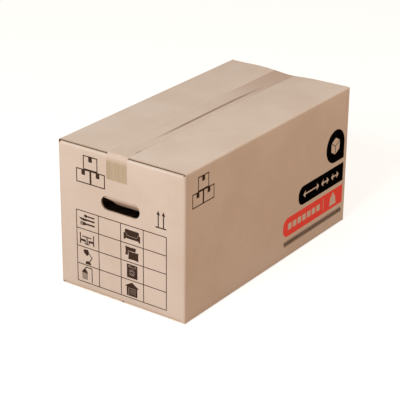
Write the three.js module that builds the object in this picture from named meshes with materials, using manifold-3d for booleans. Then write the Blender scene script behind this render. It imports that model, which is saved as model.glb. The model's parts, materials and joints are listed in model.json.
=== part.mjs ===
// Moving carton: a regular slotted box of single-wall corrugated board, folded, closed and
// taped. Millimetres, +Z up. The origin is on the floor under the middle of the box. The
// length runs along Y, with the printed end at -Y and the printed long side at +X.

import * as THREE from "three";
import { mergeVertices } from "three/addons/utils/BufferGeometryUtils.js";
import Module from "manifold-3d";

// Room for goods inside the closed box
const goodsWidth = 300;
const goodsLength = 600;
const goodsHeight = 300;

// The board and how it folds
const board = 4;
const foldRadius = 4.6;
const flapClearance = 0.3;
const flapSetback = 0.4;
const seamGap = 5;
const glueLapWidth = 35;
const gluedEdgeSetback = 1.5;

// Hand hole in each end, with a tongue that is cut free on three sides and pushed in
const holeLength = 95;
const holeHeight = 30;
const holeFromTop = 92;
const tongueKerf = 0.6;
const tonguePush = THREE.MathUtils.degToRad(50);

// Packing tape over the top and bottom seams
const tapeWidth = 50;
const tapeThickness = 0.1;
const tapeShift = -8;
const tapeTail = 55;
const bendClearance = 0.3;

// Printing, measured from the edges of the face it is on
const inkThickness = 0.1;
const lineWidth = 1.8;
const gridLeft = 43;
const gridTop = 140;
const gridCellWidth = 55.5;
const gridCellHeight = 39.2;
const gridColumns = 4;
const gridRows = 4;
const arrowsFromRight = 56;
const arrowsFromTop = 89;
const arrowHeight = 35;
const arrowPitch = 12.5;
const arrowHeadWidth = 8.5;
const arrowHeadHeight = 9;
const arrowLine = 2.6;
const stackMarkWidth = 72;
const stackMarkHeight = 60;
const stackMarkTop = 19;
const stackMarkGap = 4;
const stackLineWidth = 4.5;
const sideMarkLeft = 24;
const sideMargin = 14.5;
const badgeTop = 84;
const badgeDiameter = 76;
const badgeGap = 11;
const sizeBarLength = 184;
const loadBarLength = 242;
const barHeight = 43;
const barGap = 10;
const barRadius = 19;
const hatchLength = 238;
const hatchHeight = 12;

// Smoothness of arcs
const foldSteps = 6;
const inkSteps = 10;

// Overall size of the folded carton, and the layers of the closed ends
const width = goodsWidth + 2 * board;
const length = goodsLength + 2 * board;
const height = goodsHeight + 4 * board + 2 * flapClearance;
const innerLayer = board + flapClearance;
const innerRadius = foldRadius - board;
const flapDepth = (width - seamGap) / 2;
const cornerRelief = foldRadius + flapSetback;

const boardFinish = new THREE.MeshStandardMaterial({ color: 0xd9bfa3, roughness: 0.9, metalness: 0 });
const tapeFinish = new THREE.MeshStandardMaterial({ color: 0xcbb08c, roughness: 0.35, metalness: 0 });
const brownInk = new THREE.MeshStandardMaterial({ color: 0x3b2b22, roughness: 0.8, metalness: 0 });
const blackInk = new THREE.MeshStandardMaterial({ color: 0x1e1a18, roughness: 0.75, metalness: 0 });
const redInk = new THREE.MeshStandardMaterial({ color: 0xdc3f36, roughness: 0.75, metalness: 0 });

const wasm = await Module();
wasm.setup();

function toSolid(geometry) {
  geometry.deleteAttribute("normal");
  geometry.deleteAttribute("uv");
  const merged = mergeVertices(geometry);
  const mesh = new wasm.Mesh({
    numProp: 3,
    vertProperties: new Float32Array(merged.attributes.position.array),
    triVerts: new Uint32Array(merged.index.array),
  });
  return new wasm.Manifold(mesh);
}

function toGeometry(body) {
  const { vertProperties, triVerts } = body.getMesh();
  const geometry = new THREE.BufferGeometry();
  geometry.setAttribute("position", new THREE.BufferAttribute(vertProperties, 3));
  geometry.setIndex(new THREE.BufferAttribute(triVerts, 1));
  geometry.computeVertexNormals();
  return geometry;
}

function namedMesh(name, geometry, finish) {
  const mesh = new THREE.Mesh(geometry, finish);
  mesh.name = name;
  return mesh;
}

function extrude(shape, depth, curveSegments) {
  return new THREE.ExtrudeGeometry(shape, { depth, curveSegments, bevelEnabled: false });
}

// Stands a section drawn as (distance from the middle, height) up on the +X side, running
// from one Y to the other, and turns it about the vertical to the side it belongs on.
function standSection(shape, from, to, turn) {
  const geometry = extrude(shape, to - from, foldSteps);
  geometry.translate(0, 0, -to);
  geometry.rotateX(Math.PI / 2);
  geometry.rotateZ(turn);
  return toSolid(geometry);
}

// Section through one wall and the flaps at its top and bottom, bent inwards at the creases.
// `reach` is the wall's outer face from the middle, `inset` how far in its flaps lie.
function wallSection(reach, inset) {
  const low = inset;
  const high = height - inset;
  const edge = reach - flapDepth;
  const bend = reach - foldRadius;
  const section = new THREE.Shape();
  section.moveTo(edge, low);
  section.lineTo(bend, low);
  section.absarc(bend, low + foldRadius, foldRadius, -Math.PI / 2, 0, false);
  section.absarc(bend, high - foldRadius, foldRadius, 0, Math.PI / 2, false);
  section.lineTo(edge, high);
  section.lineTo(edge, high - board);
  section.absarc(bend, high - foldRadius, innerRadius, Math.PI / 2, 0, true);
  section.absarc(bend, low + foldRadius, innerRadius, 0, -Math.PI / 2, true);
  section.lineTo(edge, low + board);
  section.closePath();
  return section;
}

// Plan of the four walls between the creases. Three corners are folded. At the fourth, the
// end wall's crease tucks behind the cut edge of the long wall, and its lap is glued inside.
function wallPlan() {
  const x = width / 2;
  const y = length / 2;
  const plan = new THREE.Shape();
  plan.absarc(x - foldRadius, y - foldRadius, foldRadius, 0, Math.PI / 2, false);
  plan.absarc(foldRadius + board - x, y - foldRadius, foldRadius, Math.PI / 2, Math.PI, false);
  plan.lineTo(board - x, y - gluedEdgeSetback);
  plan.lineTo(-x, y - gluedEdgeSetback);
  plan.absarc(foldRadius - x, foldRadius - y, foldRadius, Math.PI, 1.5 * Math.PI, false);
  plan.absarc(x - foldRadius, foldRadius - y, foldRadius, 1.5 * Math.PI, 2 * Math.PI, false);
  plan.closePath();

  const room = new THREE.Path();
  room.absarc(x - foldRadius, y - foldRadius, innerRadius, 0, Math.PI / 2, false);
  room.absarc(foldRadius + board - x, y - foldRadius, innerRadius, Math.PI / 2, Math.PI, false);
  room.lineTo(2 * board - x, y - board - glueLapWidth);
  room.lineTo(board - x, y - board - glueLapWidth);
  room.absarc(foldRadius - x, foldRadius - y, innerRadius, Math.PI, 1.5 * Math.PI, false);
  room.absarc(x - foldRadius, foldRadius - y, innerRadius, 1.5 * Math.PI, 2 * Math.PI, false);
  room.closePath();
  plan.holes.push(room);
  return plan;
}

// Straight-sided slot outline with round ends, its top edge on y = 0
function slotOutline(run, rise) {
  const r = rise / 2;
  const half = run / 2 - r;
  const outline = new THREE.Shape();
  outline.moveTo(-half, -rise);
  outline.lineTo(half, -rise);
  outline.absarc(half, -r, r, -Math.PI / 2, Math.PI / 2, false);
  outline.lineTo(-half, 0);
  outline.absarc(-half, -r, r, Math.PI / 2, 1.5 * Math.PI, false);
  outline.closePath();
  return outline;
}

// Places a geometry drawn on the inner face of an end wall: x across, y up from the top of
// the hand hole, z outwards through the board.
function onEndWall(geometry, turn) {
  geometry.rotateX(Math.PI / 2);
  geometry.translate(0, board - length / 2, height - holeFromTop);
  geometry.rotateZ(turn);
  return toSolid(geometry);
}

function handHoleCut(turn) {
  const geometry = extrude(slotOutline(holeLength, holeHeight), 3 * board, inkSteps);
  geometry.translate(0, 0, -board);
  return onEndWall(geometry, turn);
}

function pushedTongue(turn) {
  const outline = slotOutline(holeLength - 2 * tongueKerf, holeHeight - tongueKerf);
  const geometry = extrude(outline, board, inkSteps);
  geometry.rotateX(tonguePush);
  return onEndWall(geometry, turn);
}

// The board that rolls round between the wall and the tongue, with a wedge let into each
function tongueRoll(turn) {
  const run = holeLength - holeHeight;
  const cos = board * Math.cos(tonguePush);
  const sin = board * Math.sin(tonguePush);
  const section = new THREE.Shape();
  section.moveTo(0, 0);
  section.lineTo(cos / 2 - sin, -sin / 2 - cos);
  section.absarc(0, 0, board, -tonguePush, 0, false);
  section.lineTo(board / 2, board);
  section.closePath();
  const geometry = extrude(section, run, foldSteps);
  geometry.translate(0, 0, -run / 2);
  geometry.rotateY(-Math.PI / 2);
  return onEndWall(geometry, turn);
}

// The wall ring stops a hair short of the short flaps' creases. The flap next to the glue
// lap is a board's thickness narrower, because its wall's crease lies that far in.
function foldedCarton() {
  const ringEnd = innerLayer + foldRadius + flapClearance;
  const ring = extrude(wallPlan(), height - 2 * ringEnd, foldSteps);
  ring.translate(0, 0, ringEnd);
  const longHalf = length / 2 - cornerRelief;
  const endHalf = width / 2 - cornerRelief;
  const longSection = wallSection(width / 2, 0);
  const endSection = wallSection(length / 2, innerLayer);
  let carton = toSolid(ring);
  for (const [section, from, to, turn] of [
    [longSection, -longHalf, longHalf, 0],
    [endSection, -endHalf, endHalf - board, Math.PI / 2],
    [longSection, -longHalf, longHalf, Math.PI],
    [endSection, -endHalf, endHalf, -Math.PI / 2],
  ]) {
    carton = carton.add(standSection(section, from, to, turn));
  }
  for (const turn of [0, Math.PI]) {
    carton = carton.subtract(handHoleCut(turn));
    carton = carton.add(pushedTongue(turn)).add(tongueRoll(turn));
  }
  return toGeometry(carton);
}

// Outline of a film laid along a path of (distance, height) points, on the path's left side
function filmOutline(path, thickness) {
  const outer = path.map((point, i) => {
    const before = path[Math.max(i - 1, 0)];
    const after = path[Math.min(i + 1, path.length - 1)];
    const into = new THREE.Vector2().subVectors(point, before);
    const away = new THREE.Vector2().subVectors(after, point);
    const first = (i > 0 ? into : away).clone().normalize();
    const second = (i < path.length - 1 ? away : into).clone().normalize();
    const mitre = new THREE.Vector2(-first.y - second.y, first.x + second.x).normalize();
    const spread = thickness / mitre.dot(new THREE.Vector2(-first.y, first.x));
    return point.clone().addScaledVector(mitre, spread);
  });
  return new THREE.Shape([...path, ...outer.reverse()]);
}

// Where the film, stretched over the end of the long flap, comes down on the end wall. Its
// straight run passes clear of the short flap's crease.
function tapeLanding() {
  const flapEnd = new THREE.Vector2(length / 2 - cornerRelief, height);
  const crease = new THREE.Vector2(length / 2 - foldRadius, height - innerLayer - foldRadius);
  const toCrease = new THREE.Vector2().subVectors(crease, flapEnd);
  const slant = Math.asin((foldRadius + bendClearance) / toCrease.length());
  const heading = toCrease.angle() + slant;
  const drop = (length / 2 - flapEnd.x) * Math.tan(heading);
  return new THREE.Vector2(length / 2, flapEnd.y + drop);
}

function topTape() {
  const flapEnd = length / 2 - cornerRelief;
  const landing = tapeLanding();
  const half = [
    new THREE.Vector2(flapEnd, height),
    landing,
    new THREE.Vector2(length / 2, height - tapeTail),
  ];
  const mirrored = half.map((p) => new THREE.Vector2(-p.x, p.y)).reverse();
  const film = filmOutline([...mirrored, ...half], tapeThickness);
  const geometry = extrude(film, tapeWidth, 1);
  geometry.translate(0, 0, -tapeWidth / 2);
  geometry.rotateX(Math.PI / 2);
  geometry.rotateZ(Math.PI / 2);
  geometry.translate(tapeShift, 0, 0);
  return toGeometry(toSolid(geometry));
}

function bottomTape() {
  const run = length - 2 * cornerRelief;
  const geometry = new THREE.BoxGeometry(tapeWidth, run, tapeThickness);
  geometry.translate(tapeShift, 0, -tapeThickness / 2);
  return geometry;
}

function rectangle(left, bottom, right, top) {
  return new THREE.Shape([
    new THREE.Vector2(left, bottom),
    new THREE.Vector2(right, bottom),
    new THREE.Vector2(right, top),
    new THREE.Vector2(left, top),
  ]);
}

function polygon(...points) {
  return new THREE.Shape(points.map(([x, y]) => new THREE.Vector2(x, y)));
}

function oval(x, y, acrossRadius, upRadius) {
  return new THREE.Shape().absellipse(x, y, acrossRadius, upRadius, 0, 2 * Math.PI, false, 0);
}

// A straight printed line of even width between two points
function stroke(from, to, thickness) {
  const start = new THREE.Vector2(...from);
  const end = new THREE.Vector2(...to);
  const across = new THREE.Vector2().subVectors(end, start).normalize();
  across.set(-across.y, across.x).multiplyScalar(thickness / 2);
  return new THREE.Shape([
    start.clone().sub(across),
    end.clone().sub(across),
    end.clone().add(across),
    start.clone().add(across),
  ]);
}

function moved(shape, x, y) {
  const points = shape.extractPoints(inkSteps).shape;
  return new THREE.Shape(points.map((p) => new THREE.Vector2(p.x + x, p.y + y)));
}

// One printed field: the shapes joined, less those left bare
function printed(shapes, bare = []) {
  let field = toSolid(extrude(shapes[0], inkThickness, inkSteps));
  for (const shape of shapes.slice(1)) {
    field = field.add(toSolid(extrude(shape, inkThickness, inkSteps)));
  }
  for (const shape of bare) {
    const cut = extrude(shape, 3 * inkThickness, inkSteps);
    cut.translate(0, 0, -inkThickness);
    field = field.subtract(toSolid(cut));
  }
  return toGeometry(field);
}

function placePrint(face, name, ink, x, y, shapes, bare) {
  const mesh = namedMesh(name, printed(shapes, bare), ink);
  mesh.position.set(x, -y, 0);
  face.add(mesh);
}

// One field of ink with its cells left bare, so that only the lines between them print
function contentsGrid() {
  const edge = lineWidth / 2;
  const right = gridColumns * gridCellWidth;
  const bottom = -gridRows * gridCellHeight;
  const cells = [];
  for (let column = 0; column < gridColumns; column += 1) {
    for (let row = 0; row < gridRows; row += 1) {
      const left = column * gridCellWidth + edge;
      const top = -row * gridCellHeight - edge;
      cells.push(rectangle(left, top + lineWidth - gridCellHeight, left + gridCellWidth - lineWidth, top));
    }
  }
  return [[rectangle(-edge, bottom - edge, right + edge, edge)], cells];
}

function upArrows() {
  const shapes = [];
  for (const side of [-1, 1]) {
    const x = side * arrowPitch / 2;
    shapes.push(rectangle(x - arrowLine / 2, -arrowHeight, x + arrowLine / 2, arrowLine - arrowHeadHeight));
    shapes.push(polygon(
      [x - arrowHeadWidth / 2, -arrowHeadHeight],
      [x + arrowHeadWidth / 2, -arrowHeadHeight],
      [x, 0],
    ));
  }
  const baseHalf = (arrowPitch + arrowHeadWidth) / 2 + arrowLine;
  shapes.push(rectangle(-baseHalf, -arrowHeight - arrowLine / 2, baseHalf, arrowLine / 2 - arrowHeight));
  return shapes;
}

// Three cartons in a pyramid, each an outline with a strip of tape down from its top edge
function cartonStack() {
  const boxWidth = stackMarkWidth / 2;
  const boxHeight = stackMarkHeight / 2;
  const shapes = [];
  const bare = [];
  for (const [x, y] of [[0, 0], [boxWidth, 0], [boxWidth / 2, boxHeight]]) {
    const bottom = y - stackMarkHeight;
    shapes.push(rectangle(x, bottom, x + boxWidth, bottom + boxHeight));
    const left = x + stackLineWidth / 2;
    const right = x + boxWidth - stackLineWidth / 2;
    const middle = x + boxWidth / 2;
    const inside = bottom + stackLineWidth / 2;
    const top = bottom + boxHeight - stackLineWidth / 2;
    const tapeEnd = top - boxHeight / 3;
    bare.push(polygon(
      [left, inside],
      [right, inside],
      [right, top],
      [middle + stackLineWidth, top],
      [middle + stackLineWidth, tapeEnd],
      [middle - stackLineWidth, tapeEnd],
      [middle - stackLineWidth, top],
      [left, top],
    ));
  }
  return [shapes, bare];
}

// What goes into the box, drawn about the middle of a grid cell. Each has the grid column
// and row it stands in, its inked shapes and those left bare.
const pictograms = [
  ["spoon_print", 0, 0, [oval(-4.2, 10.1, 4.6, 3.1), rectangle(-1, 8.6, 18.3, 11.6)]],
  ["knife_print", 0, 0, [polygon(
    [-21.6, 4.6], [-3, 4.2], [18.3, 3.8], [18.3, 0.3], [-2, 0.3], [-4, -0.9], [-12, -0.9], [-18, 1.4],
  )]],
  ["fork_print", 0, 0, [
    polygon(
      [-12, -3.3], [-7, -3.7], [-3, -5.2], [18.3, -5.2], [18.3, -8.7], [-3, -8.7], [-7, -10.4], [-12, -10.9],
    ),
    ...[-4.2, -7.1, -10].map((y) => rectangle(-18.4, y - 0.9, -11.5, y + 0.9)),
  ]],
  ["table_print", 0, 1, [polygon(
    [-14, 4.7], [9.6, 4.7], [9.6, 2.3], [-0.8, 2.3], [-0.8, -9.6], [0.6, -11.2], [0.6, -13.2],
    [-5, -13.2], [-5, -11.2], [-3.6, -9.6], [-3.6, 2.3], [-14, 2.3],
  )]],
  ["left_chair_print", 0, 1, [chair(-1)]],
  ["right_chair_print", 0, 1, [chair(1)]],
  ["desk_lamp_print", 0, 2, [
    polygon([-12.6, 10.8], [-9.6, 14.8], [0.2, 15.2], [2.2, 9.2], [-1, 2], [-4.4, 1.8], [-10.4, 7]),
    stroke([0, 9.2], [10.2, -0.2], 2),
    stroke([10.4, 1], [2.2, -11.8], 2),
    new THREE.Shape().absarc(-0.3, -17, 7.4, 0, Math.PI, false),
  ]],
  ["shower_print", 0, 3, [
    polygon([-17.4, 1.2], [-1.7, 1.2], [-4, 6], [-9.4, 11.8], [-14.8, 6]),
    stroke([-10, 9.6], [-5, 16], 2.2),
    rectangle(-5.6, 13.6, 9.9, 15.8),
    rectangle(7.9, -17, 9.9, 15),
    ...[-15.2, -12.4, -9.6, -6.8, -4].map((x) => rectangle(x - 0.75, -13.4, x + 0.75, 2)),
  ]],
  ["sofa_print", 2, 0, [polygon(
    [-17, 9.8], [-15.6, 10.9], [16, 10.9], [17.2, 9.8], [17.4, 2.8], [20.2, 2.6], [20.2, -11.8], [17, -11.8],
    [16, -8.8], [-16, -8.8], [-17, -11.8], [-20.4, -11.8], [-20.4, 2.6], [-17.2, 2.8],
  )], [
    polygon(
      [-15.6, 2.6], [-11.4, -3.1], [11.4, -3.1], [15.6, 2.6],
      [14.9, 2.6], [11, -2.5], [-11, -2.5], [-14.9, 2.6],
    ),
  ]],
  ["rear_cushion_print", 2, 1, [polygon(
    [-16.8, 13.6], [-4, 12.8], [9.7, 13.4], [8.6, 5], [-10, 4.8], [-10, -4.8], [-16.6, -5.5], [-15.6, 4],
  )]],
  ["front_cushion_print", 2, 1, [polygon(
    [-9.3, 4.1], [3.4, 3.6], [15.9, 4.3], [15, -4], [15.7, -13.5], [3, -12.6], [-9.3, -13.4], [-8.6, -4],
  )]],
  ["washing_machine_print", 2, 2, [rectangle(-13.2, -14.6, 12.8, 15)], [
    rectangle(-10.2, 8.6, 9.8, 9.1),
    rectangle(-9.8, 11, -3, 11.8),
    oval(7.6, 11.4, 0.9, 0.9),
    ...[0, 1].map((half) => ringPart(-0.8, -2.4, 5.9, 6.5, half)),
    ...[0, 1].map((half) => ringPart(-0.8, -2.4, 3.2, 3.8, half)),
  ]],
  ["house_print", 2, 3, [polygon(
    [-17.8, 5.4], [-1, 15.2], [15.4, 5.4], [14.6, 3.6], [12.1, 4.6], [12.1, -15.4],
    [-14.1, -15.4], [-14.1, 4.6], [-17, 3.6],
  )], [
    polygon(
      [-9.6, -14.4], [-9.6, 1.8], [6.6, 1.8], [6.6, -14.4],
      [6, -14.4], [6, 1.2], [-9, 1.2], [-9, -14.4],
    ),
    ...[-9.8, -6.4, -3].map((y) => rectangle(-6.8, y, 3.8, y + 0.5)),
  ]],
];

// A dining chair seen from its side, facing the table from the left (-1) or the right (1)
function chair(side) {
  const tableMiddle = -2.2;
  const outline = [
    [18.2, 10.8], [17.8, -4], [18.8, -13.2], [16.2, -13.2], [14.8, -7.2], [6.4, -7.2],
    [5.6, -13.2], [3.4, -13.2], [4.2, -7.2], [3.4, -6.8], [3.4, -2.6], [15.4, -2.6], [15.6, 10.8],
  ];
  return polygon(...outline.map(([x, y]) => [tableMiddle + side * x, y]));
}

// Just under half of a ring, so that two halves leave a bridge on each side
function ringPart(x, y, inner, outer, half) {
  const bridge = 0.16;
  const from = half * Math.PI + bridge;
  const to = (half + 1) * Math.PI - bridge;
  const part = new THREE.Shape();
  part.absarc(x, y, outer, from, to, false);
  part.absarc(x, y, inner, to, from, true);
  part.closePath();
  return part;
}

function gridMiddle(column, row) {
  return [gridLeft + (column + 0.5) * gridCellWidth, gridTop + (row + 0.5) * gridCellHeight];
}

function printEndWall() {
  const face = new THREE.Group();
  face.position.set(-width / 2, -length / 2, height);
  face.rotation.x = Math.PI / 2;
  placePrint(face, "contents_grid", brownInk, gridLeft, gridTop, ...contentsGrid());
  placePrint(face, "up_arrows", brownInk, width - arrowsFromRight, arrowsFromTop, upArrows());
  const [stack, bare] = cartonStack();
  const tapeLeft = (width - tapeWidth) / 2 + tapeShift;
  const stackLeft = tapeLeft - stackMarkGap - stackMarkWidth;
  placePrint(face, "carton_stack_end_print", brownInk, stackLeft, stackMarkTop, stack, bare);
  for (const [name, column, row, inked, leftBare] of pictograms) {
    placePrint(face, name, brownInk, ...gridMiddle(column, row), inked, leftBare);
  }
  return face;
}

// A field with a round left end and a square right end, its top right corner at the origin
function barOutline(run, rise) {
  const outline = new THREE.Shape();
  outline.moveTo(0, -rise);
  outline.lineTo(0, 0);
  outline.lineTo(barRadius - run, 0);
  outline.absarc(barRadius - run, -barRadius, barRadius, Math.PI / 2, Math.PI, false);
  outline.lineTo(-run, barRadius - rise);
  outline.absarc(barRadius - run, barRadius - rise, barRadius, Math.PI, 1.5 * Math.PI, false);
  outline.closePath();
  return outline;
}

// A round field whose lower right quarter is square, with a cube left bare in its middle
function volumeBadge() {
  const r = badgeDiameter / 2;
  const outline = new THREE.Shape();
  outline.moveTo(0, -badgeDiameter);
  outline.lineTo(0, -r);
  outline.absarc(-r, -r, r, 0, 1.5 * Math.PI, false);
  outline.closePath();
  const edge = badgeDiameter / 4;
  const gap = lineWidth / 2;
  const across = edge * Math.cos(Math.PI / 6);
  const up = edge / 2;
  const rhombus = polygon([0, gap], [across, up + gap], [0, 2 * up + gap], [-across, up + gap]);
  const cubeTop = moved(rhombus, -r, -r);
  const bare = [cubeTop];
  for (const side of [-1, 1]) {
    const face = polygon(
      [side * gap, -gap / 2],
      [side * (across + gap), up - gap / 2],
      [side * (across + gap), up - edge],
      [side * gap, -edge],
    );
    bare.push(moved(face, -r, -r));
  }
  return [[outline], bare];
}

// Double-headed measuring arrow, lying level from its left point
function measureArrow(left, y, run) {
  const head = barHeight / 5;
  const shaft = lineWidth;
  return polygon(
    [left, y],
    [left + head, y - head],
    [left + head, y - shaft],
    [left + run - head, y - shaft],
    [left + run - head, y - head],
    [left + run, y],
    [left + run - head, y + head],
    [left + run - head, y + shaft],
    [left + head, y + shaft],
    [left + head, y + head],
  );
}

// The bar for the sizes: one long arrow and two short ones, in the box's own proportions
function sizeBarMarks() {
  const y = -barHeight / 2;
  const gap = barRadius / 2;
  const free = sizeBarLength - 2 * barRadius - 2 * gap;
  const share = free / (goodsLength + goodsWidth + goodsHeight);
  const bare = [];
  let left = barRadius - sizeBarLength;
  for (const size of [goodsLength, goodsWidth, goodsHeight]) {
    const run = size * share;
    bare.push(measureArrow(left, y, run));
    left += run + gap;
  }
  return bare;
}

// The bar for the load: a row of blocks, a divider and a scale weight
function loadBarMarks() {
  const middle = -barHeight / 2;
  const block = barHeight / 3;
  const blockGap = block / 3;
  const divider = -loadBarLength / 3;
  const bare = [];
  const first = barRadius - loadBarLength;
  const step = block + blockGap;
  const count = Math.floor((divider - blockGap - first) / step);
  for (let i = 0; i < count; i += 1) {
    const left = first + i * step;
    bare.push(rectangle(left, middle - block / 2, left + block, middle + block / 2));
  }
  bare.push(rectangle(divider, middle - block, divider + lineWidth, middle + block));
  const x = divider / 2;
  bare.push(polygon(
    [x - block, middle - block],
    [x + block, middle - block],
    [x + block / 1.5, middle + block / 2],
    [x + block / 4, middle + block / 2],
    [x + block / 4, middle + block],
    [x - block / 4, middle + block],
    [x - block / 4, middle + block / 2],
    [x - block / 1.5, middle + block / 2],
  ));
  return bare;
}

// The hatched band under the bars, as one field of colour
function hatchStrip() {
  return [rectangle(-hatchLength, -hatchHeight, 0, 0)];
}

function printLongWall() {
  const face = new THREE.Group();
  face.position.set(width / 2, -length / 2, height);
  face.rotation.set(Math.PI / 2, 0, Math.PI / 2, "ZYX");
  const right = length - sideMargin;
  const sizeBarTop = badgeTop + badgeDiameter + badgeGap;
  const loadBarTop = sizeBarTop + barHeight + barGap;
  const hatchTop = loadBarTop + barHeight + barGap;
  const sizeBar = barOutline(sizeBarLength, barHeight);
  const loadBar = barOutline(loadBarLength, barHeight);
  const [stack, bare] = cartonStack();
  placePrint(face, "carton_stack_side_print", brownInk, sideMarkLeft, stackMarkTop, stack, bare);
  placePrint(face, "volume_badge", blackInk, right, badgeTop, ...volumeBadge());
  placePrint(face, "size_bar", blackInk, right, sizeBarTop, [sizeBar], sizeBarMarks());
  placePrint(face, "load_bar", redInk, right, loadBarTop, [loadBar], loadBarMarks());
  placePrint(face, "hatch_strip", brownInk, right, hatchTop, hatchStrip());
  return face;
}

// The carton stands on the tape under its bottom seam
const movingBox = new THREE.Group();
movingBox.name = "moving_box";
movingBox.position.z = tapeThickness;
movingBox.add(namedMesh("carton", foldedCarton(), boardFinish));
movingBox.add(namedMesh("top_tape", topTape(), tapeFinish));
movingBox.add(namedMesh("bottom_tape", bottomTape(), tapeFinish));
movingBox.add(printEndWall());
movingBox.add(printLongWall());

export default movingBox;
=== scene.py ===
import json
from math import cos, exp, hypot, pi, radians, sin, sqrt

import bmesh
import bpy
from mathutils import Matrix, Vector


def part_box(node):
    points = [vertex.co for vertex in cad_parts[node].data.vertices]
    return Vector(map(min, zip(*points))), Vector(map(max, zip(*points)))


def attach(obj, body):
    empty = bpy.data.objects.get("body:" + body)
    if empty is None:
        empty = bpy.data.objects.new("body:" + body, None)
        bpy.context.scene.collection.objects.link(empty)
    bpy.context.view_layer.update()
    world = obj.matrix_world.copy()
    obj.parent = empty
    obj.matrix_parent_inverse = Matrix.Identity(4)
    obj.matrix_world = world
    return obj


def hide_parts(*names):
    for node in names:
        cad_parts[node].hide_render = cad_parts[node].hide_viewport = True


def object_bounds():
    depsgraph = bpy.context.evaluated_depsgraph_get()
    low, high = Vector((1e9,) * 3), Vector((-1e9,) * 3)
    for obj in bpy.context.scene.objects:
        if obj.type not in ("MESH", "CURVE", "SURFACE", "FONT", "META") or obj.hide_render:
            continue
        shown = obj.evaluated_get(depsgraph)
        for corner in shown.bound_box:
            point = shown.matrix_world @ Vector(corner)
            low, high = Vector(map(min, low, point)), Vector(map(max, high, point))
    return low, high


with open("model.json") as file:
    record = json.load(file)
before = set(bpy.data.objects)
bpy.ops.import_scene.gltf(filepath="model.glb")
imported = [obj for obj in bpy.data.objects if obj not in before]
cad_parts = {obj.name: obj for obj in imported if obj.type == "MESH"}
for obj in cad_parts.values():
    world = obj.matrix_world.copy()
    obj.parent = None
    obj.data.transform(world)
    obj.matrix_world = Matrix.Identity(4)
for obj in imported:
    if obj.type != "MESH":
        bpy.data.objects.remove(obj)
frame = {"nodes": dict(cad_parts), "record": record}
cad_low, cad_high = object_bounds()
scene = bpy.context.scene
scene.view_settings.view_transform = "Standard"


# The camera stands a little right of the printed end and looks down on it, as a product
# photographer would with a long lens. The whole carton stands clear of the picture's edges.
camera_place = Vector((1.6280, -2.3463, 1.3919))
camera_azimuth = radians(35.18)
camera_elevation = radians(24.07)
camera_roll = radians(0.57)
sensor_width_mm = 36
picture_width = 400
focal_length_in_pixels = 1481.4
farthest_seen = 50

camera_data = bpy.data.cameras.new("camera")
camera_data.sensor_width = sensor_width_mm
camera_data.lens = sensor_width_mm * focal_length_in_pixels / picture_width
camera_data.clip_end = farthest_seen
camera = bpy.data.objects.new("camera", camera_data)
scene.collection.objects.link(camera)
look = Matrix.Rotation(camera_azimuth, 4, "Z") @ Matrix.Rotation(pi / 2 - camera_elevation, 4, "X")
camera.matrix_world = Matrix.Translation(camera_place) @ look @ Matrix.Rotation(camera_roll, 4, "Z")
scene.camera = camera


# The carton is one blank of corrugated board, creased, slotted, folded and glued at one corner.
# It is drawn here as a thin sheet that goes round the four walls and turns in at the flaps,
# and then gets the thickness of the board. Its kraft liners are matt, with fibres and flecks.
board = 0.004
fold_radius = 0.0046
flap_clearance = 0.0003
seam_gap = 0.005
corner_relief = 0.005
lap_width = 0.035
glued_edge_setback = 0.0015
corner_rise = 0.0036
fold_steps = 6
wall_pitch = 0.012
wall_rows = 26
flap_pitch = 0.009

carton_low, carton_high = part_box("carton")
half_width = carton_high.x
half_length = carton_high.y
middle_radius = fold_radius - board / 2
inner_layer = board + flap_clearance
flap_reach = half_width - seam_gap / 2 - board / 2

hole_below_top = 0.092
hole_top = carton_high.z - hole_below_top
hole_height = 0.030
hole_length = 0.095
hole_steps = 14
cutter_inside = 0.010
cutter_outside = 0.012


def spread(start, end, pitch):
    """Places from start to end, both included, about a pitch apart."""
    count = max(1, round(abs(end - start) / pitch))
    return [start + (end - start) * i / count for i in range(count + 1)]


def smooth(low, high, value):
    """A soft step from 0 at low to 1 at high."""
    share = min(1, max(0, (value - low) / (high - low)))
    return share * share * (3 - 2 * share)


# How the closed top has sunk: where that starts, and its waves across the top. Each wave has
# its middle, its breadth and its depth, and a depth below 0 is a swelling.
far_settling_start = 0.02
near_settling_start = -0.10
settling_low = carton_high.z - 0.045
settling_high = carton_high.z - 0.010
far_waves = ((0.004, 0.040, 0.0042), (-0.075, 0.038, -0.0010), (0.075, 0.050, 0.0006))
slack_wave = (0, 0.050, 0.0008)


def wave(x, middle, breadth, depth):
    """How far a soft wave across the closed top lies below it at x."""
    return depth * exp(-((x - middle) / breadth) ** 2)


def settle(place):
    """Moves a point as the closed flaps have settled: they dip at the far end of the seam."""
    far = smooth(far_settling_start, half_length, place.y)
    near = smooth(near_settling_start, -half_length, place.y)
    height = smooth(settling_low, settling_high, place.z)
    drop = far * sum(wave(place.x, *shape) for shape in far_waves)
    slack = (1 - far) * (1 - near) * wave(place.x, *slack_wave)
    return place - Vector((0, 0, height * (drop + slack)))


class Station:
    """A place on the sheet's way round the walls, at the middle of the board."""

    def __init__(self, x, y, turn, long_share, flap):
        self.place = Vector((x, y, 0))
        self.inward = Vector((cos(turn), sin(turn), 0))
        self.long_share = long_share
        self.flap = flap


def wall_stations(start, end, turn, long_share, flap_start, flap_end):
    """Stations along one straight wall; the flap takes those from flap_start to flap_end."""
    along = (end - start).normalized()
    length = (end - start).length
    marks = [0] + spread(flap_start, flap_end, wall_pitch) + [length]
    stations = []
    for mark in marks:
        spot = start + along * mark
        stations.append(Station(spot.x, spot.y, turn, long_share, flap_start <= mark <= flap_end))
    return stations


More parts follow.
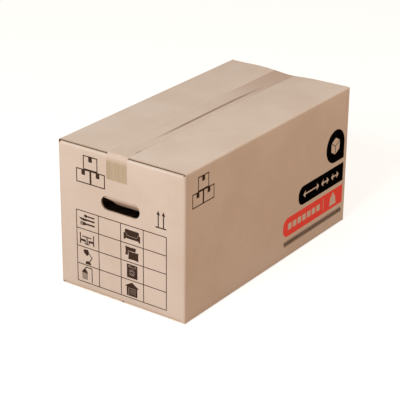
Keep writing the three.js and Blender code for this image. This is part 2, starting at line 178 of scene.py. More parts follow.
def corner_stations(centre, first_turn, first_share, last_share):
    """Stations round one corner, turning a quarter clockwise."""
    stations = []
    for step in range(1, fold_steps):
        share = step / fold_steps
        turn = first_turn - share * pi / 2
        inward = Vector((cos(turn), sin(turn)))
        spot = centre - inward * middle_radius
        long_share = first_share + (last_share - first_share) * share
        stations.append(Station(spot.x, spot.y, turn, long_share, False))
    return stations


def ring_of_stations():
    """The whole way round: the glue lap, then the back, right, front and left walls."""
    out_x = half_width - board / 2
    out_y = half_length - board / 2
    bend_x = out_x - middle_radius
    bend_y = out_y - middle_radius
    lap_x = out_x - board
    lap_bend_x = lap_x - middle_radius
    slot_end = corner_relief - fold_radius
    stations = []
    lap_start = Vector((-lap_x, half_length - board - lap_width))
    lap_end = Vector((-lap_x, bend_y))
    lap_length = (lap_end - lap_start).length
    for mark in spread(0, lap_length, wall_pitch):
        stations.append(Station(-lap_x, lap_start.y + mark, 0, 0, False))
    stations += corner_stations(Vector((-lap_bend_x, bend_y)), 0, 0, 0)
    back = (Vector((-lap_bend_x, out_y)), Vector((bend_x, out_y)))
    stations += wall_stations(*back, -pi / 2, 0, slot_end, (back[1] - back[0]).length - slot_end)
    stations += corner_stations(Vector((bend_x, bend_y)), -pi / 2, 0, 1)
    right = (Vector((out_x, bend_y)), Vector((out_x, -bend_y)))
    stations += wall_stations(*right, -pi, 1, slot_end, 2 * bend_y - slot_end)
    stations += corner_stations(Vector((bend_x, -bend_y)), -pi, 1, 0)
    front = (Vector((bend_x, -out_y)), Vector((-bend_x, -out_y)))
    stations += wall_stations(*front, -3 * pi / 2, 0, slot_end, 2 * bend_x - slot_end)
    stations += corner_stations(Vector((-bend_x, -bend_y)), -3 * pi / 2, 0, 1)
    left = (Vector((-out_x, -bend_y)), Vector((-out_x, half_length - glued_edge_setback)))
    stations += wall_stations(*left, -2 * pi, 1, slot_end, 2 * bend_y - slot_end)
    return stations


def profile(long_share):
    """The sheet's insets and heights from a bottom flap's edge to the top flap's, and the wall's rows."""
    layer = (1 - long_share) * inner_layer
    low = carton_low.z + layer + fold_radius
    high = carton_high.z - layer - fold_radius
    half = []
    for inset in spread(flap_reach, middle_radius, flap_pitch):
        half.append((inset, fold_radius - middle_radius))
    for step in range(fold_steps - 1, 0, -1):
        angle = step / fold_steps * pi / 2
        half.append((middle_radius * (1 - cos(angle)), fold_radius - middle_radius * sin(angle)))
    rows = [(inset, low - fold_radius + rise) for inset, rise in half]
    rows += [(0, low + (high - low) * step / wall_rows) for step in range(wall_rows + 1)]
    rows += [(inset, high + fold_radius - rise) for inset, rise in reversed(half)]
    return rows, len(half), len(half) + wall_rows


def fold_sheet():
    """The folded sheet as a mesh, with its places on the flat blank as its UV map."""
    mesh = bmesh.new()
    ring = ring_of_stations()
    columns = []
    around = 0
    for number, station in enumerate(ring):
        if number:
            around += (station.place - ring[number - 1].place).length
        rows, first_wall_row, last_wall_row = profile(station.long_share)
        rise = 0 if station.flap else corner_rise
        wall_low = rows[first_wall_row][1] - rise
        wall_high = rows[last_wall_row][1] + rise
        column = []
        for row, (inset, height) in enumerate(rows):
            if first_wall_row <= row <= last_wall_row:
                share = (row - first_wall_row) / (last_wall_row - first_wall_row)
                height = wall_low + share * (wall_high - wall_low)
            elif not station.flap:
                column.append(None)
                continue
            spot = station.place + station.inward * inset + Vector((0, 0, height))
            column.append((mesh.verts.new(settle(spot)), (around, height + inset)))
        columns.append(column)
    uv_map = mesh.loops.layers.uv.new("sheet")
    for number in range(len(columns) - 1):
        left, right = columns[number], columns[number + 1]
        for row in range(len(left) - 1):
            corners = [right[row], left[row], left[row + 1], right[row + 1]]
            if None in corners:
                continue
            face = mesh.faces.new([corner[0] for corner in corners])
            face.smooth = True
            for loop, corner in zip(face.loops, corners):
                loop[uv_map].uv = corner[1]
    return mesh


def object_from(mesh, name):
    """A new object at the origin from a bmesh, which is freed."""
    data = bpy.data.meshes.new(name)
    mesh.to_mesh(data)
    mesh.free()
    piece = bpy.data.objects.new(name, data)
    scene.collection.objects.link(piece)
    return piece


def thicken(piece, thickness, rim_slot=1):
    """Adds the modifier for a sheet's thickness: half to each side, unless its offset is changed."""
    solidify = piece.modifiers.new("thickness", "SOLIDIFY")
    solidify.thickness = thickness
    solidify.offset = 0
    solidify.use_even_offset = True
    solidify.material_offset_rim = rim_slot
    return solidify


def finished(piece):
    """The piece as a plain mesh, with its modifiers applied and removed."""
    bpy.context.view_layer.update()
    evaluated = piece.evaluated_get(bpy.context.evaluated_depsgraph_get())
    data = bpy.data.meshes.new_from_object(evaluated)
    piece.modifiers.clear()
    piece.data = data
    return piece


def obround(length, height, steps):
    """The outline of a hand hole, going round from the right end's bottom."""
    radius = height / 2
    points = []
    for side in (1, -1):
        for step in range(steps + 1):
            angle = (step / steps - side / 2) * pi
            points.append((side * (length / 2 - radius) + radius * cos(angle), radius * sin(angle)))
    return points


def hole_cutter(side):
    """The tool that stamps a hand hole through an end wall."""
    mesh = bmesh.new()
    outline = obround(hole_length, hole_height, hole_steps)
    hole_middle = hole_top - hole_height / 2
    loops = []
    for reach in (-cutter_inside, cutter_outside):
        y = side * (half_length - board / 2 + reach)
        loops.append([mesh.verts.new((x, y, hole_middle + z)) for x, z in outline])
    inner, outer = loops
    mesh.faces.new(inner)
    mesh.faces.new(outer[::-1])
    for i in range(len(outline)):
        j = (i + 1) % len(outline)
        mesh.faces.new([inner[i], outer[i], outer[j], inner[j]])
    bmesh.ops.recalc_face_normals(mesh, faces=mesh.faces)
    for face in mesh.faces:
        face.material_index = 1
        face.smooth = True
    return object_from(mesh, "hole_cutter")


tongue_rows = 16
tongue_columns = 28
tongue_kerf = 0.0006
open_push = radians(66)
lazy_push = radians(48)
lazy_until = 0.020
open_from = 0.050
crease_start = -0.002
crease_end = 0.008
crease_steps = 12


def push_at(x, side):
    """The tongue's lean at a place along it: it was pushed in harder at one end."""
    return lazy_push + (open_push - lazy_push) * smooth(lazy_until, open_from, x * side)


def fold_tongue(side):
    """The tongue of a hand hole, hanging from the hole's top edge and pushed inward."""
    mesh = bmesh.new()
    uv_map = mesh.loops.layers.uv.new("sheet")
    radius = hole_height / 2
    grid = []
    for row in range(tongue_rows + 1):
        drop = row / tongue_rows * (hole_height - tongue_kerf)
        round_end = sqrt(max(0, radius ** 2 - (drop - radius) ** 2))
        reach = hole_length / 2 - radius + round_end - tongue_kerf
        line = []
        for column in range(tongue_columns + 1):
            x = reach * (2 * column / tongue_columns - 1)
            lean = push_at(x, side)
            depth = 0
            fall = 0
            for step in range(crease_steps):
                way = drop * (step + 0.5) / crease_steps
                angle = lean * smooth(crease_start, crease_end, way)
                depth += sin(angle) * drop / crease_steps
                fall += cos(angle) * drop / crease_steps
            spot = Vector((x, side * (half_length - board / 2 - depth), hole_top - fall))
            line.append((mesh.verts.new(spot), (x, drop)))
        grid.append(line)
    for above, below in zip(grid, grid[1:]):
        for column in range(tongue_columns):
            corners = [above[column], below[column], below[column + 1], above[column + 1]]
            if side > 0:
                corners.reverse()
            face = mesh.faces.new([corner[0] for corner in corners])
            face.smooth = True
            for loop, corner in zip(face.loops, corners):
                loop[uv_map].uv = corner[1]
    return object_from(mesh, "tongue")


def join(pieces):
    """One object from several, in the first one."""
    for other in bpy.context.selected_objects:
        other.select_set(False)
    for piece in pieces:
        piece.select_set(True)
    bpy.context.view_layer.objects.active = pieces[0]
    bpy.ops.object.join()
    return pieces[0]


def material(name):
    """A new material with its nodes, its links and its shader."""
    made = bpy.data.materials.new(name)
    made.use_nodes = True
    nodes = made.node_tree.nodes
    return made, nodes, made.node_tree.links, nodes["Principled BSDF"]


def linear(red, green, blue):
    """A colour given as 0 to 255 on a screen, as the shader takes it, by the sRGB curve."""
    def channel(value):
        share = value / 255
        return share / 12.92 if share <= 0.04045 else ((share + 0.055) / 1.055) ** 2.4
    return (channel(red), channel(green), channel(blue), 1)


def noise(nodes, links, source, scale, detail=4, roughness=0.6, stretch=(1, 1, 1)):
    """A noise pattern on a coordinate output, stretched along its axes."""
    mapping = nodes.new("ShaderNodeMapping")
    mapping.inputs["Scale"].default_value = stretch
    links.new(source, mapping.inputs["Vector"])
    pattern = nodes.new("ShaderNodeTexNoise")
    pattern.inputs["Scale"].default_value = scale
    pattern.inputs["Detail"].default_value = detail
    pattern.inputs["Roughness"].default_value = roughness
    links.new(mapping.outputs["Vector"], pattern.inputs["Vector"])
    return pattern.outputs["Fac"]


def limits(nodes, links, source, low, high, low_out=0, high_out=1):
    """A value's range turned into another one, with soft ends."""
    step = nodes.new("ShaderNodeMapRange")
    step.interpolation_type = "SMOOTHSTEP"
    step.inputs["From Min"].default_value = low
    step.inputs["From Max"].default_value = high
    step.inputs["To Min"].default_value = low_out
    step.inputs["To Max"].default_value = high_out
    links.new(source, step.inputs["Value"])
    return step.outputs["Result"]


def feed(links, socket, value):
    """Gives a socket its value, or links it to the output that makes it."""
    if isinstance(value, bpy.types.NodeSocket):
        links.new(value, socket)
    else:
        socket.default_value = value


def computed(nodes, links, operation, *values):
    """The result of one step of arithmetic on numbers or outputs."""
    step = nodes.new("ShaderNodeMath")
    step.operation = operation
    for socket, value in zip(step.inputs, values):
        feed(links, socket, value)
    return step.outputs["Value"]


def blended(nodes, links, amount, first, second):
    """Two colours mixed by an amount; each may be a value or an output."""
    mix = nodes.new("ShaderNodeMix")
    mix.data_type = "RGBA"
    colour_sockets = [socket for socket in mix.inputs if socket.type == "RGBA"]
    for socket, value in zip([mix.inputs[0]] + colour_sockets, (amount, first, second)):
        feed(links, socket, value)
    return next(socket for socket in mix.outputs if socket.type == "RGBA")


def bumped(nodes, links, height, strength, distance, before=None):
    """A bump from a height output, on top of another one if there is one."""
    bump = nodes.new("ShaderNodeBump")
    bump.inputs["Strength"].default_value = strength
    bump.inputs["Distance"].default_value = distance
    links.new(height, bump.inputs["Height"])
    if before:
        links.new(before, bump.inputs["Normal"])
    return bump.outputs["Normal"]


kraft = linear(221, 201, 185)
kraft_light = linear(224, 204, 189)
kraft_dark = linear(218, 197, 180)
fleck_brown = linear(165, 135, 110)
fibre_stretch = (2.2, 0.5, 1)
flute_pitch = 0.0078
wave_texture_period = 0.314


def liner_pattern(nodes, links):
    """The kraft liner's colour and surface: clouds, fibres, flecks, and the flutes showing through as a
    bump with painted shade along them.
    """
    place = nodes.new("ShaderNodeTexCoord").outputs["Object"]
    sheet = nodes.new("ShaderNodeUVMap")
    sheet.uv_map = "sheet"
    flat = sheet.outputs["UV"]
    cloud_noise = noise(nodes, links, place, scale=9, detail=3)
    clouds = limits(nodes, links, cloud_noise, low=0.35, high=0.65)
    fibre_noise = noise(nodes, links, flat, scale=420, detail=4, roughness=0.7, stretch=fibre_stretch)
    fibres = limits(nodes, links, fibre_noise, low=0.42, high=0.75)
    fleck_noise = noise(nodes, links, place, scale=650, detail=2, roughness=0.5)
    flecks = limits(nodes, links, fleck_noise, low=0.66, high=0.76, high_out=0.5)
    flutes = nodes.new("ShaderNodeTexWave")
    flutes.bands_direction = "X"
    flutes.inputs["Scale"].default_value = wave_texture_period / flute_pitch
    flutes.inputs["Distortion"].default_value = 0.6
    flutes.inputs["Detail"].default_value = 1
    flutes.inputs["Detail Scale"].default_value = 3
    links.new(flat, flutes.inputs["Vector"])
    colour = blended(nodes, links, clouds, kraft_dark, kraft_light)
    fibre_share = limits(nodes, links, fibres, low=0, high=1, high_out=0.35)
    colour = blended(nodes, links, fibre_share, colour, kraft)
    # Painted shade along the flutes: the colour darkens with the flute waves.
    flute_shade = limits(nodes, links, flutes.outputs["Fac"], low=0, high=1, high_out=0.10)
    colour = blended(nodes, links, flute_shade, colour, kraft_dark)
    colour = blended(nodes, links, flecks, colour, fleck_brown)
    waves = bumped(nodes, links, flutes.outputs["Fac"], strength=0.35, distance=0.00012)
    normal = bumped(nodes, links, fibres, strength=0.25, distance=0.00008, before=waves)
    return colour, normal


def board_material():
    """The outer and inner liners of the board."""
    made, nodes, links, shader = material("kraft_liner")
    colour, normal = liner_pattern(nodes, links)
    links.new(colour, shader.inputs["Base Color"])
    links.new(normal, shader.inputs["Normal"])
    shader.inputs["Roughness"].default_value = 0.85
    shader.inputs["Specular IOR Level"].default_value = 0.12
    return made


# The cut edges' dark colour is painted shade in the flute hollows, the nook's colour is painted shade
# under a top flap's end, and the foot's pale colour is painted light from the floor.
edge_hollow_shade = linear(128, 100, 78)
edge_light = linear(182, 154, 128)
nook_shade = linear(78, 57, 44)
flap_end_light = linear(196, 170, 148)
painted_floor_light = linear(250, 228, 208)
nook_low = carton_high.z - 0.0030
nook_high = carton_high.z - 0.0014
top_zone_low = carton_high.z - 0.02
top_zone_high = carton_high.z - 0.01
floor_light_low = 0.006
floor_light_high = 0.012


def cut_edge_material():
    """The board's cut edges: browner than the liners, with painted shade in their flute hollows and in
    the nook under a top flap's end, and painted light from the floor at their foot.
    """
    made, nodes, links, shader = material("cut_edge")
    place = nodes.new("ShaderNodeTexCoord").outputs["Object"]
    axes = nodes.new("ShaderNodeSeparateXYZ")
    links.new(place, axes.inputs["Vector"])
    height = axes.outputs["Z"]
    hollow_noise = noise(nodes, links, place, scale=260, detail=3)
    shaded_hollows = limits(nodes, links, hollow_noise, low=0.40, high=0.62)
    nook = limits(nodes, links, height, low=nook_low, high=nook_high)
    on_top = limits(nodes, links, height, low=top_zone_low, high=top_zone_high)
    floor_light_mask = limits(nodes, links, height, low=floor_light_low, high=floor_light_high, low_out=1, high_out=0)
    # Painted shade in the flute hollows of the cut edge; the same hollows also give its bump.
    colour = blended(nodes, links, shaded_hollows, edge_hollow_shade, edge_light)
    # Painted shade in the nook under a top flap's end, below the lighter colour of the flap's end itself.
    top_colour = blended(nodes, links, nook, nook_shade, flap_end_light)
    colour = blended(nodes, links, on_top, colour, top_colour)
    # Painted light: the cut edges are lightened near the floor, as if lit from it.
    colour = blended(nodes, links, floor_light_mask, colour, painted_floor_light)
    links.new(colour, shader.inputs["Base Color"])
    grooves = bumped(nodes, links, shaded_hollows, strength=0.8, distance=0.0006)
    links.new(grooves, shader.inputs["Normal"])
    shader.inputs["Roughness"].default_value = 0.95
    shader.inputs["Specular IOR Level"].default_value = 0.1
    return made


kraft_liner = board_material()
cut_edge = cut_edge_material()


fluting_dark = linear(182, 152, 124)
fluting_light = linear(204, 176, 150)
fluting_inset = 0.0007
fluting_paper = 0.0003
fluting_depth = 0.0006
steps_per_flute = 12


def fluting_material():
    """The wavy paper between the liners, a shade browner than they are."""
    made, nodes, links, shader = material("fluting_paper")
    place = nodes.new("ShaderNodeTexCoord").outputs["Object"]
    fibre_noise = noise(nodes, links, place, scale=900, detail=3)
    fibres = limits(nodes, links, fibre_noise, low=0.4, high=0.65)
    colour = blended(nodes, links, fibres, fluting_dark, fluting_light)
    links.new(colour, shader.inputs["Base Color"])
    shader.inputs["Roughness"].default_value = 0.9
    shader.inputs["Specular IOR Level"].default_value = 0.1
    return made


def new_tree(name, inputs):
    """A Geometry Nodes tree with named inputs, and the nodes at its two ends."""
    tree = bpy.data.node_groups.new(name, "GeometryNodeTree")
    tree.interface.new_socket("Geometry", in_out="INPUT", socket_type="NodeSocketGeometry")
    for label, kind in inputs:
        tree.interface.new_socket(label, in_out="INPUT", socket_type=kind)
    tree.interface.new_socket("Geometry", in_out="OUTPUT", socket_type="NodeSocketGeometry")
    return tree, tree.nodes.new("NodeGroupInput"), tree.nodes.new("NodeGroupOutput")


def end_tree(tree, geometry, finish, result):
    """The tree's last steps: its copies made real, and given their material."""
    real = tree.nodes.new("GeometryNodeRealizeInstances")
    coat = tree.nodes.new("GeometryNodeSetMaterial")
    coat.inputs["Material"].default_value = finish
    tree.links.new(geometry, real.inputs["Geometry"])
    tree.links.new(real.outputs["Geometry"], coat.inputs["Geometry"])
    tree.links.new(coat.outputs["Geometry"], result.inputs["Geometry"])


def grown(piece, tree, values):
    """The piece as the mesh that a Geometry Nodes tree makes from it, with the tree's inputs set."""
    modifier = piece.modifiers.new(tree.name, "NODES")
    modifier.node_group = tree
    for item in tree.interface.items_tree:
        if item.in_out == "INPUT" and item.name in values:
            modifier[item.identifier] = values[item.name]
    return finished(piece)


def fluting_tree(paper):
    """A wavy strip of paper along each line of the mesh, between the two liners."""
    inputs = [("Pitch", "NodeSocketFloat"), ("Swing", "NodeSocketVector"), ("Paper", "NodeSocketFloat"),
              ("Depth", "NodeSocketFloat")]
    tree, given, result = new_tree("fluting", inputs)
    nodes, links = tree.nodes, tree.links
    pitch = given.outputs["Pitch"]
    line = nodes.new("GeometryNodeMeshToCurve")
    links.new(given.outputs["Geometry"], line.inputs["Mesh"])
    finer = nodes.new("GeometryNodeResampleCurve")
    finer.mode = "LENGTH"
    links.new(line.outputs["Curve"], finer.inputs["Curve"])
    links.new(computed(nodes, links, "DIVIDE", pitch, steps_per_flute), finer.inputs["Length"])
    way = nodes.new("GeometryNodeSplineParameter")
    turns = computed(nodes, links, "DIVIDE", way.outputs["Length"], pitch)
    sway = computed(nodes, links, "SINE", computed(nodes, links, "MULTIPLY", turns, 2 * pi))
    swing = nodes.new("ShaderNodeVectorMath")
    swing.operation = "SCALE"
    links.new(given.outputs["Swing"], swing.inputs["Vector"])
    links.new(sway, swing.inputs["Scale"])
    moved = nodes.new("GeometryNodeSetPosition")
    links.new(finer.outputs["Curve"], moved.inputs["Geometry"])
    links.new(swing.outputs["Vector"], moved.inputs["Offset"])
    section = nodes.new("GeometryNodeCurvePrimitiveQuadrilateral")
    links.new(given.outputs["Paper"], section.inputs["Width"])
    links.new(given.outputs["Depth"], section.inputs["Height"])
    ribbon = nodes.new("GeometryNodeCurveToMesh")
    ribbon.inputs["Fill Caps"].default_value = True
    links.new(moved.outputs["Geometry"], ribbon.inputs["Curve"])
    links.new(section.outputs["Curve"], ribbon.inputs["Profile Curve"])
    end_tree(tree, ribbon.outputs["Mesh"], paper, result)
    return tree


quarter_steps = 8


def hole_edge_lines():
    """The lower edge of each hand hole, as lines at the middle of the board."""
    mesh = bmesh.new()
    radius = hole_height / 2
    straight = hole_length / 2 - radius
    for side in (-1, 1):
        before = None
        for end, first_angle in ((-1, pi), (1, 1.5 * pi)):
            for step in range(quarter_steps + 1):
                angle = first_angle + step / quarter_steps * pi / 2
                x = end * straight + radius * cos(angle)
                z = hole_top - radius + radius * sin(angle)
                spot = mesh.verts.new((x, side * (half_length - board / 2), z))
                if before:
                    mesh.edges.new((before, spot))
                before = spot
    return object_from(mesh, "hand_hole_fluting")


carton_sharp_angle = radians(40)

carton = object_from(fold_sheet(), "folded_carton")
carton.data.materials.append(kraft_liner)
carton.data.materials.append(cut_edge)
thicken(carton, board)
cutters = []
for side in (-1, 1):
    cutter = hole_cutter(side)
    cutter.data.materials.append(kraft_liner)
    cutter.data.materials.append(cut_edge)
    stamp = carton.modifiers.new("hand_hole", "BOOLEAN")
    stamp.object = cutter
    stamp.solver = "EXACT"
    cutters.append(cutter)
finished(carton)
for cutter in cutters:
    bpy.data.objects.remove(cutter)
tongues = []
for side in (-1, 1):
    tongue = fold_tongue(side)
    tongue.data.materials.append(kraft_liner)
    tongue.data.materials.append(cut_edge)
    thicken(tongue, board)
    tongues.append(finished(tongue))
fluting = grown(hole_edge_lines(), fluting_tree(fluting_material()), {
    "Pitch": flute_pitch,
    "Swing": (0, board / 2 - fluting_inset, 0),
    "Paper": fluting_paper,
    "Depth": fluting_depth,
})
join([carton, fluting] + tongues)
carton.data.set_sharp_from_angle(angle=carton_sharp_angle)
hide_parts("carton")
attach(carton, "root")


# The carton is shut with one strip of tan packing tape along the top seam. It is drawn over the
# flaps' ends and rubbed down on both end walls, and cut off there with the dispenser's toothed blade.
film = 0.00012
tape_low, tape_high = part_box("top_tape")
tape_middle = (tape_low.x + tape_high.x) / 2
tape_half = (tape_high.x - tape_low.x) / 2
tape_drift = -0.0035
tape_columns = 66
tape_pitch = 0.008
press_steps = 6
press_turn = radians(62)
nook_rise = 0.0009
flap_edge_drop = 0.0006
flap_edge_round = ((0.0002, 0.0001), (0.0012, 0))
tape_sharp_angle = radians(50)
tooth = 0.0004
lift_place = Vector((0.0165, -0.268))
lift_size = Vector((0.006, 0.008))
lift_height = 0.0013
tail_top = carton_high.z - 0.008


def tape_path():
    """The strip's way over the carton, from the front tail to the back one: along the length, height."""
    crease = Vector((half_length - fold_radius, carton_high.z - inner_layer - fold_radius))
    flap_end = half_length - corner_relief
    half = [Vector((half_length, height)) for height in spread(tape_low.z, crease.y, tape_pitch)]
    for step in range(1, press_steps + 1):
        angle = step / press_steps * press_turn
        half.append(crease + fold_radius * Vector((cos(angle), sin(angle))))
    start = half[-1]
    nook = Vector((flap_end + 2 * film, start.y + nook_rise))
    corner = Vector((flap_end, carton_high.z - flap_edge_drop))
    for step in range(1, press_steps + 1):
        share = step / press_steps
        half.append(start.lerp(nook, share).lerp(nook.lerp(corner, share), share))
    for inward, down in flap_edge_round:
        half.append(Vector((flap_end - inward, carton_high.z - down)))
    flat = half[-1].x - tape_pitch / 4
    front = [Vector((-spot.x, spot.y)) for spot in half]
    top = [Vector((along, carton_high.z)) for along in spread(-flat, flat, tape_pitch)]
    return front + top + half[::-1]


def tape_sheet():
    """The strip as a mesh, with its length and width as its UV map."""
    mesh = bmesh.new()
    uv_map = mesh.loops.layers.uv.new("strip")
    path = tape_path()
    lines = []
    way = 0
    for number, place in enumerate(path):
        before = path[max(number - 1, 0)]
        after = path[min(number + 1, len(path) - 1)]
        way += (place - before).length
        run = (after - before).normalized()
        out = Vector((0, -run.y, run.x))
        middle = tape_middle + tape_drift * smooth(-half_length, 0, place.x)
        line = []
        for column in range(tape_columns + 1):
            x = middle + tape_half * (2 * column / tape_columns - 1)
            spot = settle(Vector((x, place.x, place.y))) + out * film
            away = hypot((spot.x - lift_place.x) / lift_size.x, (spot.y - lift_place.y) / lift_size.y)
            spot.z += lift_height * exp(-away ** 2) if spot.z > tail_top else 0
            if number in (0, len(path) - 1):
                spot.z += tooth * (column % 2)
            line.append((mesh.verts.new(spot), (way, x)))
        lines.append(line)
    for before, after in zip(lines, lines[1:]):
        for column in range(tape_columns):
            corners = [before[column], before[column + 1], after[column + 1], after[column]]
            face = mesh.faces.new([corner[0] for corner in corners])
            face.smooth = True
            for loop, corner in zip(face.loops, corners):
                loop[uv_map].uv = corner[1]
    return object_from(mesh, "seam_tape")


tape_dark = linear(209, 185, 167)
tape_light = linear(215, 192, 174)
tape_far = linear(190, 160, 138)
# The tails' two colours are the ends of their bands of painted sheen.
tail_dark = linear(182, 160, 134)
tail_light = linear(206, 184, 156)
# The seam's brown is painted shade of the seam gap under the film.
seam_gap_shade = linear(146, 114, 82)
wrinkle_stretch = (4, 0.12, 0.12)
sheen_band_stretch = (1, 0.05, 0.05)


def over_seam(nodes, links, place, colour):
    """The film's colour with painted shade of the seam gap under it, a browner far end, and bands of
    painted sheen on its tails.
    """
    axes = nodes.new("ShaderNodeSeparateXYZ")
    links.new(place, axes.inputs["Vector"])
    across, along, height = axes.outputs
    sheen_band_noise = noise(nodes, links, place, scale=90, detail=2, roughness=0.5, stretch=sheen_band_stretch)
    sheen_bands = limits(nodes, links, sheen_band_noise, low=0.40, high=0.60, high_out=0.35)
    off_seam = computed(nodes, links, "ABSOLUTE", across)
    line = limits(nodes, links, off_seam, low=0.0016, high=0.0048, low_out=1, high_out=0)
    off_middle = computed(nodes, links, "ABSOLUTE", along)
    fade = limits(nodes, links, off_middle, low=0.09, high=0.22, low_out=1, high_out=0)
    top = limits(nodes, links, height, low=top_zone_low, high=top_zone_high)
    far = limits(nodes, links, along, low=0, high=half_length)
    colour = blended(nodes, links, far, colour, tape_far)
    # Painted sheen: lighter and darker bands across the tails.
    tail = blended(nodes, links, sheen_bands, tail_dark, tail_light)
    colour = blended(nodes, links, top, tail, colour)
    # Painted shade of the seam gap seen through the film, fading towards both ends.
    shown = computed(nodes, links, "MULTIPLY", line, fade)
    shown = computed(nodes, links, "MULTIPLY", shown, top)
    return blended(nodes, links, shown, colour, seam_gap_shade)


def tape_material(name, paints_seam_shade):
    """Tan film: glossy, with soft wrinkles along it."""
    made, nodes, links, shader = material(name)
    place = nodes.new("ShaderNodeTexCoord").outputs["Object"]
    streaks = noise(nodes, links, place, scale=60, detail=3, roughness=0.5, stretch=wrinkle_stretch)
    clouds = limits(nodes, links, noise(nodes, links, place, scale=14, detail=2), low=0.35, high=0.65)
    colour = blended(nodes, links, clouds, tape_dark, tape_light)
    if paints_seam_shade:
        colour = over_seam(nodes, links, place, colour)
    links.new(colour, shader.inputs["Base Color"])
    wrinkles = bumped(nodes, links, streaks, strength=0.5, distance=0.0004)
    links.new(wrinkles, shader.inputs["Normal"])
    shader.inputs["Roughness"].default_value = 0.5
    shader.inputs["Specular IOR Level"].default_value = 0.35
    return made


seam_tape = tape_sheet()
thicken(seam_tape, film, rim_slot=0).offset = 1
finished(seam_tape)
seam_tape.data.materials.append(tape_material("tan_tape", paints_seam_shade=True))
seam_tape.data.set_sharp_from_angle(angle=tape_sharp_angle)
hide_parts("top_tape")
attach(seam_tape, "root")


# The bottom seam is shut with a strip of the same film, stuck flat under the carton from end
# to end. Its shape stays as the drawing has it, and only its finish is added here.
base_tape = frame["nodes"]["bottom_tape"]
base_tape.data.materials.clear()
base_tape.data.materials.append(tape_material("base_tape", paints_seam_shade=False))


# The print is water-based ink from rubber plates, laid on the board before it was cut. It sinks
# into the liner, so it is matt, a little uneven, and thin where a flute dips below the plate.
bare_fibre = linear(170, 140, 118)


def ink_material(name, full, thin):
    """Ink with fine gaps where the paper's fibres stayed bare."""
    made, nodes, links, shader = material(name)
    place = nodes.new("ShaderNodeTexCoord").outputs["Object"]
    blotch_noise = noise(nodes, links, place, scale=55, detail=4)
    blotches = limits(nodes, links, blotch_noise, low=0.35, high=0.70, high_out=0.35)
    gap_noise = noise(nodes, links, place, scale=900, detail=3, roughness=0.7)
    gaps = limits(nodes, links, gap_noise, low=0.66, high=0.78, high_out=0.25)
    colour = blended(nodes, links, blotches, full, thin)
    colour = blended(nodes, links, gaps, colour, bare_fibre)
    links.new(colour, shader.inputs["Base Color"])
    links.new(bumped(nodes, links, gaps, strength=0.2, distance=0.00005), shader.inputs["Normal"])
    shader.inputs["Roughness"].default_value = 0.85
    shader.inputs["Specular IOR Level"].default_value = 0
    return made


inks = {
    "brown_ink": ink_material("brown_print", linear(66, 48, 40), linear(88, 66, 54)),
    "black_ink": ink_material("black_print", linear(6, 5, 5), linear(14, 11, 10)),
    "red_ink": ink_material("red_print", linear(255, 86, 76), linear(255, 100, 90)),
}


def vector_computed(nodes, links, operation, first, second):
    """The result of one step of arithmetic on a vector and another one, or on it and a scale."""
    step = nodes.new("ShaderNodeVectorMath")
    step.operation = operation
    feed(links, step.inputs[0], first)
    feed(links, step.inputs["Scale"] if operation == "SCALE" else step.inputs[1], second)
    return step.outputs["Vector"]


def hatch_tree(ink):
    """Two rows of upright ticks on a common line, the lower row half a step behind the upper."""
    inputs = [("Start", "NodeSocketVector"), ("Length", "NodeSocketFloat"), ("Pitch", "NodeSocketFloat"),
              ("Tick", "NodeSocketVector"), ("Line", "NodeSocketVector"), ("Middle", "NodeSocketVector")]
    tree, given, result = new_tree("hatching", inputs)
    nodes, links = tree.nodes, tree.links
    count = computed(nodes, links, "DIVIDE", given.outputs["Length"], given.outputs["Pitch"])
    tick = nodes.new("GeometryNodeMeshCube")
    links.new(given.outputs["Tick"], tick.inputs["Size"])
    stride = nodes.new("ShaderNodeCombineXYZ")
    links.new(given.outputs["Pitch"], stride.inputs["Y"])
    joined = nodes.new("GeometryNodeJoinGeometry")
    for row, lag in ((1, 0), (-1, 0.5)):
        lift = vector_computed(nodes, links, "MULTIPLY", given.outputs["Tick"], (0, 0, row / 2))
        begin = vector_computed(nodes, links, "ADD", given.outputs["Start"], lift)
        shift = vector_computed(nodes, links, "SCALE", stride.outputs["Vector"], lag)
        line = nodes.new("GeometryNodeMeshLine")
        links.new(count, line.inputs["Count"])
        links.new(vector_computed(nodes, links, "ADD", begin, shift), line.inputs["Start Location"])
        links.new(stride.outputs["Vector"], line.inputs["Offset"])
        ticks = nodes.new("GeometryNodeInstanceOnPoints")
        links.new(line.outputs["Mesh"], ticks.inputs["Points"])
        links.new(tick.outputs["Mesh"], ticks.inputs["Instance"])
        links.new(ticks.outputs["Instances"], joined.inputs["Geometry"])
    bar = nodes.new("GeometryNodeMeshCube")
    links.new(given.outputs["Line"], bar.inputs["Size"])
    placed = nodes.new("GeometryNodeTransform")
    links.new(bar.outputs["Mesh"], placed.inputs["Geometry"])
    links.new(given.outputs["Middle"], placed.inputs["Translation"])
    links.new(placed.outputs["Geometry"], joined.inputs["Geometry"])
    end_tree(tree, joined.outputs["Geometry"], ink, result)
    return tree


hatch_pitch = 0.0042
tick_width = 0.0025
line_height = 0.0014
hatch_low, hatch_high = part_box("hatch_strip")
hatch_middle = (hatch_low + hatch_high) / 2
hatch_size = hatch_high - hatch_low
hatch = grown(object_from(bmesh.new(), "hatch_ticks"), hatch_tree(inks["brown_ink"]), {
    "Start": (hatch_middle.x, hatch_low.y + tick_width / 2, hatch_middle.z),
    "Length": hatch_size.y - tick_width,
    "Pitch": hatch_pitch,
    "Tick": (hatch_size.x, tick_width, hatch_size.z / 2),
    "Line": (hatch_size.x, hatch_size.y, line_height),
    "Middle": tuple(hatch_middle),
})
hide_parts("hatch_strip")
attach(hatch, "root")

slots = {part["node"]: part["material_slot"] for part in frame["record"]["subparts"]}
for name, node in frame["nodes"].items():
    if slots.get(name) in inks:
        node.data.materials.clear()
        node.data.materials.append(inks[slots[name]])


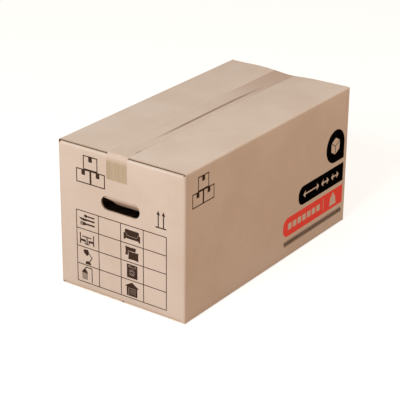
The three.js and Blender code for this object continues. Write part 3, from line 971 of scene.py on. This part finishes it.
# The carton stands on a plain pale floor that runs on to the horizon. A large soft lamp lights
# its printed end, a small warm one its long side, and even light comes from all round.
floor_size = 30
floor_gap = 0.0003
floor_base = linear(192, 183, 174)
floor_bounce = linear(164, 122, 80)
floor_glow = 0.72


def seen_rays(nodes, links):
    """1 for the rays that show the room to the camera: straight, mirrored or through film."""
    rays = nodes.new("ShaderNodeLightPath")
    seen = rays.outputs["Is Camera Ray"]
    for kind in ("Is Glossy Ray", "Is Transmission Ray"):
        seen = computed(nodes, links, "MAXIMUM", seen, rays.outputs[kind])
    return seen


def floor_material():
    """Floor that the camera sees as white, with the carton's shadow, and that lights it warmly."""
    made, nodes, links, shader = material("studio_floor")
    shader.inputs["Base Color"].default_value = floor_base
    shader.inputs["Roughness"].default_value = 1
    shader.inputs["Specular IOR Level"].default_value = 0
    bounce = nodes.new("ShaderNodeBsdfDiffuse")
    bounce.inputs["Color"].default_value = floor_bounce
    glow = nodes.new("ShaderNodeEmission")
    glow.inputs["Color"].default_value = (1, 1, 1, 1)
    glow.inputs["Strength"].default_value = floor_glow
    added = nodes.new("ShaderNodeAddShader")
    links.new(shader.outputs["BSDF"], added.inputs[0])
    links.new(glow.outputs["Emission"], added.inputs[1])
    chosen = nodes.new("ShaderNodeMixShader")
    links.new(seen_rays(nodes, links), chosen.inputs["Fac"])
    links.new(bounce.outputs["BSDF"], chosen.inputs[1])
    links.new(added.outputs["Shader"], chosen.inputs[2])
    links.new(chosen.outputs["Shader"], nodes["Material Output"].inputs["Surface"])
    return made


floor_mesh = bmesh.new()
bmesh.ops.create_grid(floor_mesh, x_segments=1, y_segments=1, size=floor_size / 2)
floor = object_from(floor_mesh, "studio_floor")
floor.data.transform(Matrix.Translation((0, 0, cad_low.z - floor_gap)))
floor.data.materials.append(floor_material())


def soft_lamp(name, place, target, size, power, colour):
    """A square soft box that faces a target."""
    data = bpy.data.lights.new(name, "AREA")
    data.shape = "SQUARE"
    data.size = size
    data.energy = power
    data.color = colour
    lamp = bpy.data.objects.new(name, data)
    scene.collection.objects.link(lamp)
    place = Vector(place)
    aim = (Vector(target) - place).to_track_quat("-Z", "Y").to_matrix().to_4x4()
    lamp.matrix_world = Matrix.Translation(place) @ aim


soft_lamp(
    "front_lamp",
    place=(0.1, -3.3, 2.2),
    target=(0, 0, 0.15),
    size=1.4,
    power=105,
    colour=(0.88, 0.96, 1.0),
)
soft_lamp(
    "side_lamp",
    place=(1.9, 0.5, 1.3),
    target=(0.1, 0, 0.3),
    size=0.8,
    power=11,
    colour=(1.0, 0.86, 0.68),
)

sky_colour = (0.97, 0.89, 0.81, 1)
sky_strength = 0.45


def sky():
    """Even light from all round, seen as white."""
    world = bpy.data.worlds.new("studio")
    world.use_nodes = True
    nodes = world.node_tree.nodes
    links = world.node_tree.links
    light = nodes["Background"]
    light.inputs["Color"].default_value = sky_colour
    light.inputs["Strength"].default_value = sky_strength
    white = nodes.new("ShaderNodeBackground")
    white.inputs["Color"].default_value = (1, 1, 1, 1)
    white.inputs["Strength"].default_value = 1
    chosen = nodes.new("ShaderNodeMixShader")
    links.new(seen_rays(nodes, links), chosen.inputs["Fac"])
    links.new(light.outputs["Background"], chosen.inputs[1])
    links.new(white.outputs["Background"], chosen.inputs[2])
    links.new(chosen.outputs["Shader"], nodes["World Output"].inputs["Surface"])
    scene.world = world


sky()
